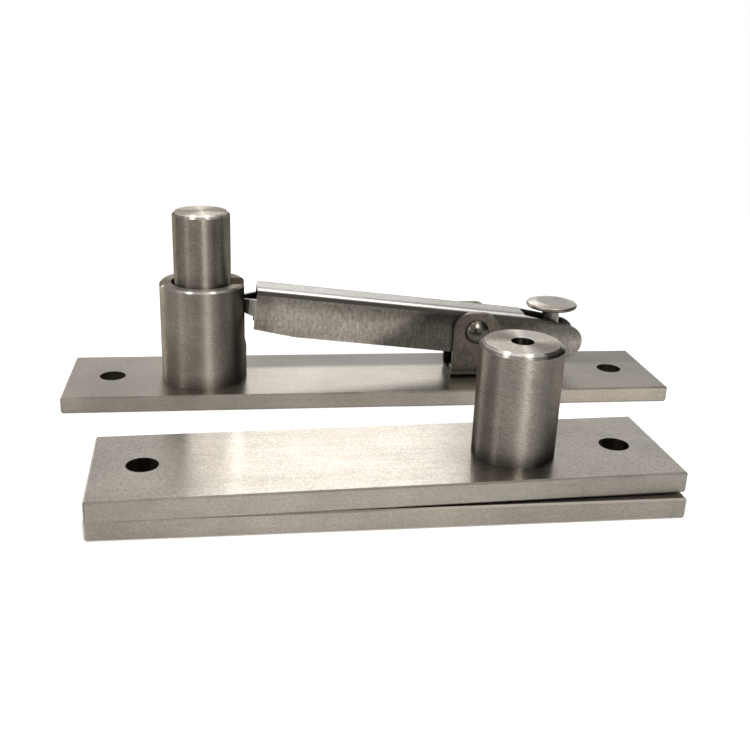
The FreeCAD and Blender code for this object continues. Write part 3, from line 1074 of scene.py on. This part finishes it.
# A grey card on the right, seen only by the metal, gives the round pieces their darker side
card = {"x": 0.45, "y": (-0.45, 0.30), "z": (0.0, 0.5), "level": 0.12}


def addCard():
    clearSelection()
    (front, back), (low, high) = card["y"], card["z"]
    middle = (card["x"], (front + back) / 2, (low + high) / 2)
    bpy.ops.mesh.primitive_plane_add(size=1, location=middle, rotation=(0, math.radians(90), 0))
    panel = bpy.context.object
    panel.name = "greyCard"
    panel.scale = (high - low, back - front, 1)
    bpy.ops.object.transform_apply(location=True, rotation=True, scale=True)
    material = bpy.data.materials.new("greyCard")
    tree = emptyTree(material)
    paint = tree.add("Emission")
    paint.inputs["Color"].default_value = (card["level"], card["level"], card["level"], 1)
    tree.feed(tree.add("OutputMaterial").inputs["Surface"], paint.outputs[0])
    panel.data.materials.append(material)
    panel.visible_camera = False
    panel.visible_diffuse = False
    panel.visible_shadow = False


# Lamps: panels in metres, with their power in watts. smallCard hangs between the two halves, where
# the door plate mirrors it
lamps = {
    "backPanel": {
        "from": (0.22, 1.462, 0.85), "at": (0.03, -0.03, 0.0), "size": (0.48, 0.34), "power": 2.75,
    },
    "smallCard": {
        "from": (0.003, -0.036, 0.026), "at": (0.003, -0.1, 0.004), "size": (0.0135, 0.023),
        "power": 0.0015,
    },
    "overhead": {
        "from": (-0.05, 0.05, 0.90), "at": (0.04, -0.03, 0.0), "size": (1.0, 1.0), "power": 3.0,
    },
    "ceilingLeft": {
        "from": (-0.22, -0.08, 0.60), "at": (0.03, -0.03, 0.02), "size": (0.09, 0.12), "power": 0.45,
    },
    "ceilingRight": {
        "from": (0.19, -0.17, 0.62), "at": (0.03, -0.03, 0.02), "size": (0.09, 0.12), "power": 0.45,
    },
    "keyFront": {
        "from": (0.15, -0.65, 0.50), "at": (0.04, -0.03, 0.02), "size": (0.12, 0.45), "power": 7.0,
    },
    "leftFront": {
        "from": (-0.64, -0.38, 0.27), "at": (0.04, -0.03, 0.02), "size": (0.12, 0.30), "power": 1.0,
    },
    "leftBack": {
        "from": (-0.50, 0.45, 0.13), "at": (0.0, 0.0, 0.02), "size": (0.20, 0.22), "power": 1.8,
    },
}

# Flags keep a lamp off the pieces that would only mirror it
flags = {
    "keyFront": [
        nodes["frame_plate"], nodes["door_plate"], nodes["floor_plate"], nodes["rocker_lever"],
        newPieces["pressure_disc"],
    ],
    "leftBack": [nodes["rocker_lever"]],
}


def addLamp(name, lamp):
    data = bpy.data.lights.new(name, "AREA")
    data.shape = "RECTANGLE"
    data.size, data.size_y = lamp["size"]
    data.energy = lamp["power"]
    light = bpy.data.objects.new(name, data)
    bpy.context.scene.collection.objects.link(light)
    light.location = lamp["from"]
    aim = Vector(lamp["at"]) - Vector(lamp["from"])
    light.rotation_euler = aim.to_track_quat("-Z", "Y").to_euler()
    light.visible_camera = False
    return light


def addFlag(light, pieces):
    flag = bpy.data.collections.new(light.name + "Flag")
    light.light_linking.receiver_collection = flag
    for piece in pieces:
        flag.objects.link(piece)
    for entry in flag.collection_objects:
        entry.light_linking.link_state = "EXCLUDE"


addFloor()
addCard()
addWorld()
for name, lamp in lamps.items():
    light = addLamp(name, lamp)
    if name in flags:
        addFlag(light, flags[name])
bpy.context.scene.view_settings.view_transform = "Standard"
print("floor, world and lamps set")
